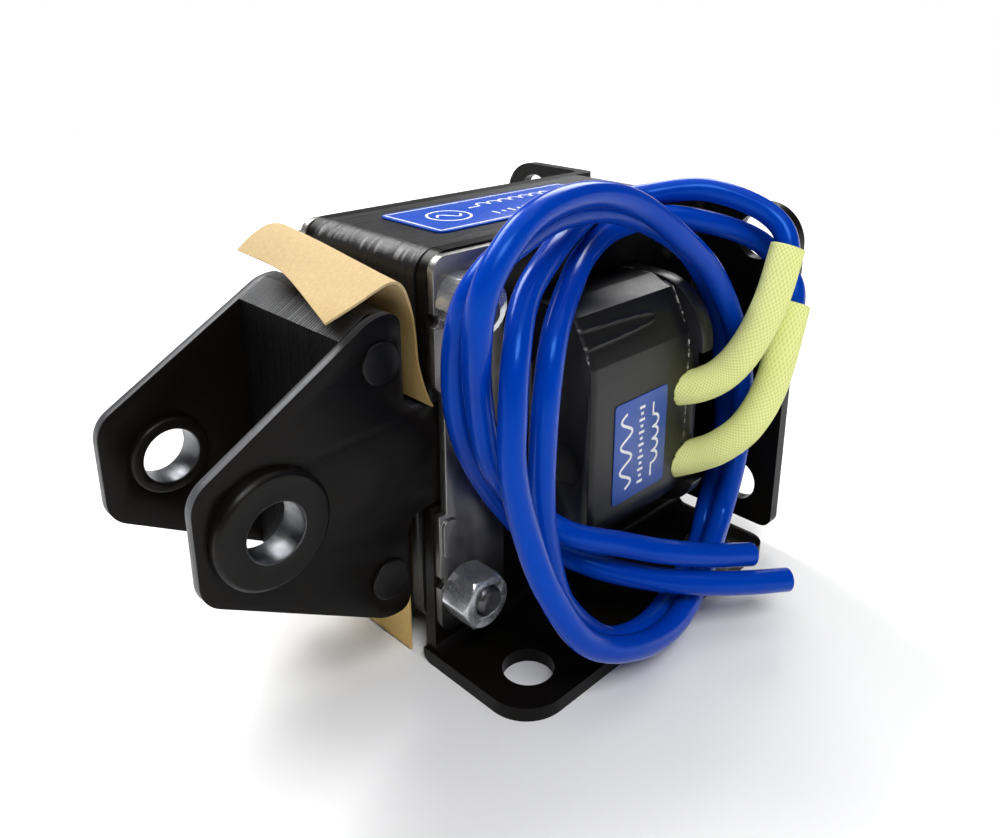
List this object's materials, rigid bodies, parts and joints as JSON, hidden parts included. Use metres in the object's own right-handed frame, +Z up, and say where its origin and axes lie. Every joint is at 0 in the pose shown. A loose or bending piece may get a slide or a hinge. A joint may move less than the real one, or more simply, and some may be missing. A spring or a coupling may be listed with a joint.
{
  "type": "solenoid",
  "caption": "Open-frame AC pull solenoid with a laminated core, film-wrapped coil, footed angle brackets, a sliding T plunger ending in a bushed clevis, and coiled insulated leads.",
  "frame": {"origin": "centre of the foot-hole pattern, on the underside of the feet", "axes": "+X along the plunger from the clevis end to the rear flanges, +Y across the lamination stack away from the leads, +Z up"},
  "size_m": [0.0896, 0.075, 0.0662],
  "materials": {
    "black_laminations": "satin black paint over stacked steel laminations",
    "black_sheet": "satin black paint on bent steel sheet",
    "black_rivet": "satin black paint over steel rivets",
    "black_bush": "satin black flange with a bright steel bore",
    "plated_steel": "bright zinc plate with fine scratches",
    "nut_steel": "bright zinc plate",
    "dark_bolt_steel": "dark oiled steel",
    "shading_copper": "copper, black painted on the outside",
    "winding_copper": "enamelled copper wire",
    "bobbin_plastic": "moulded black plastic",
    "black_film": "glossy black film tape with wrinkles",
    "blue_label": "blue printed film",
    "blue_plate": "blue printed foil with a pale border",
    "yellow_sleeving": "woven glass sleeving, varnished",
    "blue_insulation": "glossy blue insulation",
    "kraft_paper": "creased brown packing paper"
  },
  "bodies": {
    "frame": {"upper_core": "black_laminations", "lower_core": "black_laminations", "shading_rings": "shading_copper", "front_bracket": "black_sheet", "rear_bracket": "black_sheet", "front_guide_plate": "plated_steel", "rear_guide_plate": "plated_steel", "clamp_bolts": "dark_bolt_steel", "clamp_nuts": "nut_steel", "core_rivets": "black_rivet", "coil_bobbin": "bobbin_plastic", "coil_winding": "winding_copper", "coil_wrap": "black_film", "coil_label": "blue_label", "top_plate": "blue_plate", "upper_sleeve": "yellow_sleeving", "lower_sleeve": "yellow_sleeving", "upper_lead": "blue_insulation", "lower_lead": "blue_insulation", "upper_paper": "kraft_paper", "lower_paper": "kraft_paper"},
    "plunger": {"plunger_stack": "black_laminations", "front_cheek": "black_sheet", "rear_cheek": "black_sheet", "plunger_rivets": "black_rivet", "front_bush": "black_bush", "rear_bush": "black_bush"}
  },
  "joints": [
    {"name": "plunger_slide", "type": "slide", "parent": "frame", "child": "plunger", "axis": [-1, 0, 0], "range_m": [-0.0015, 0.02]}
  ]
}
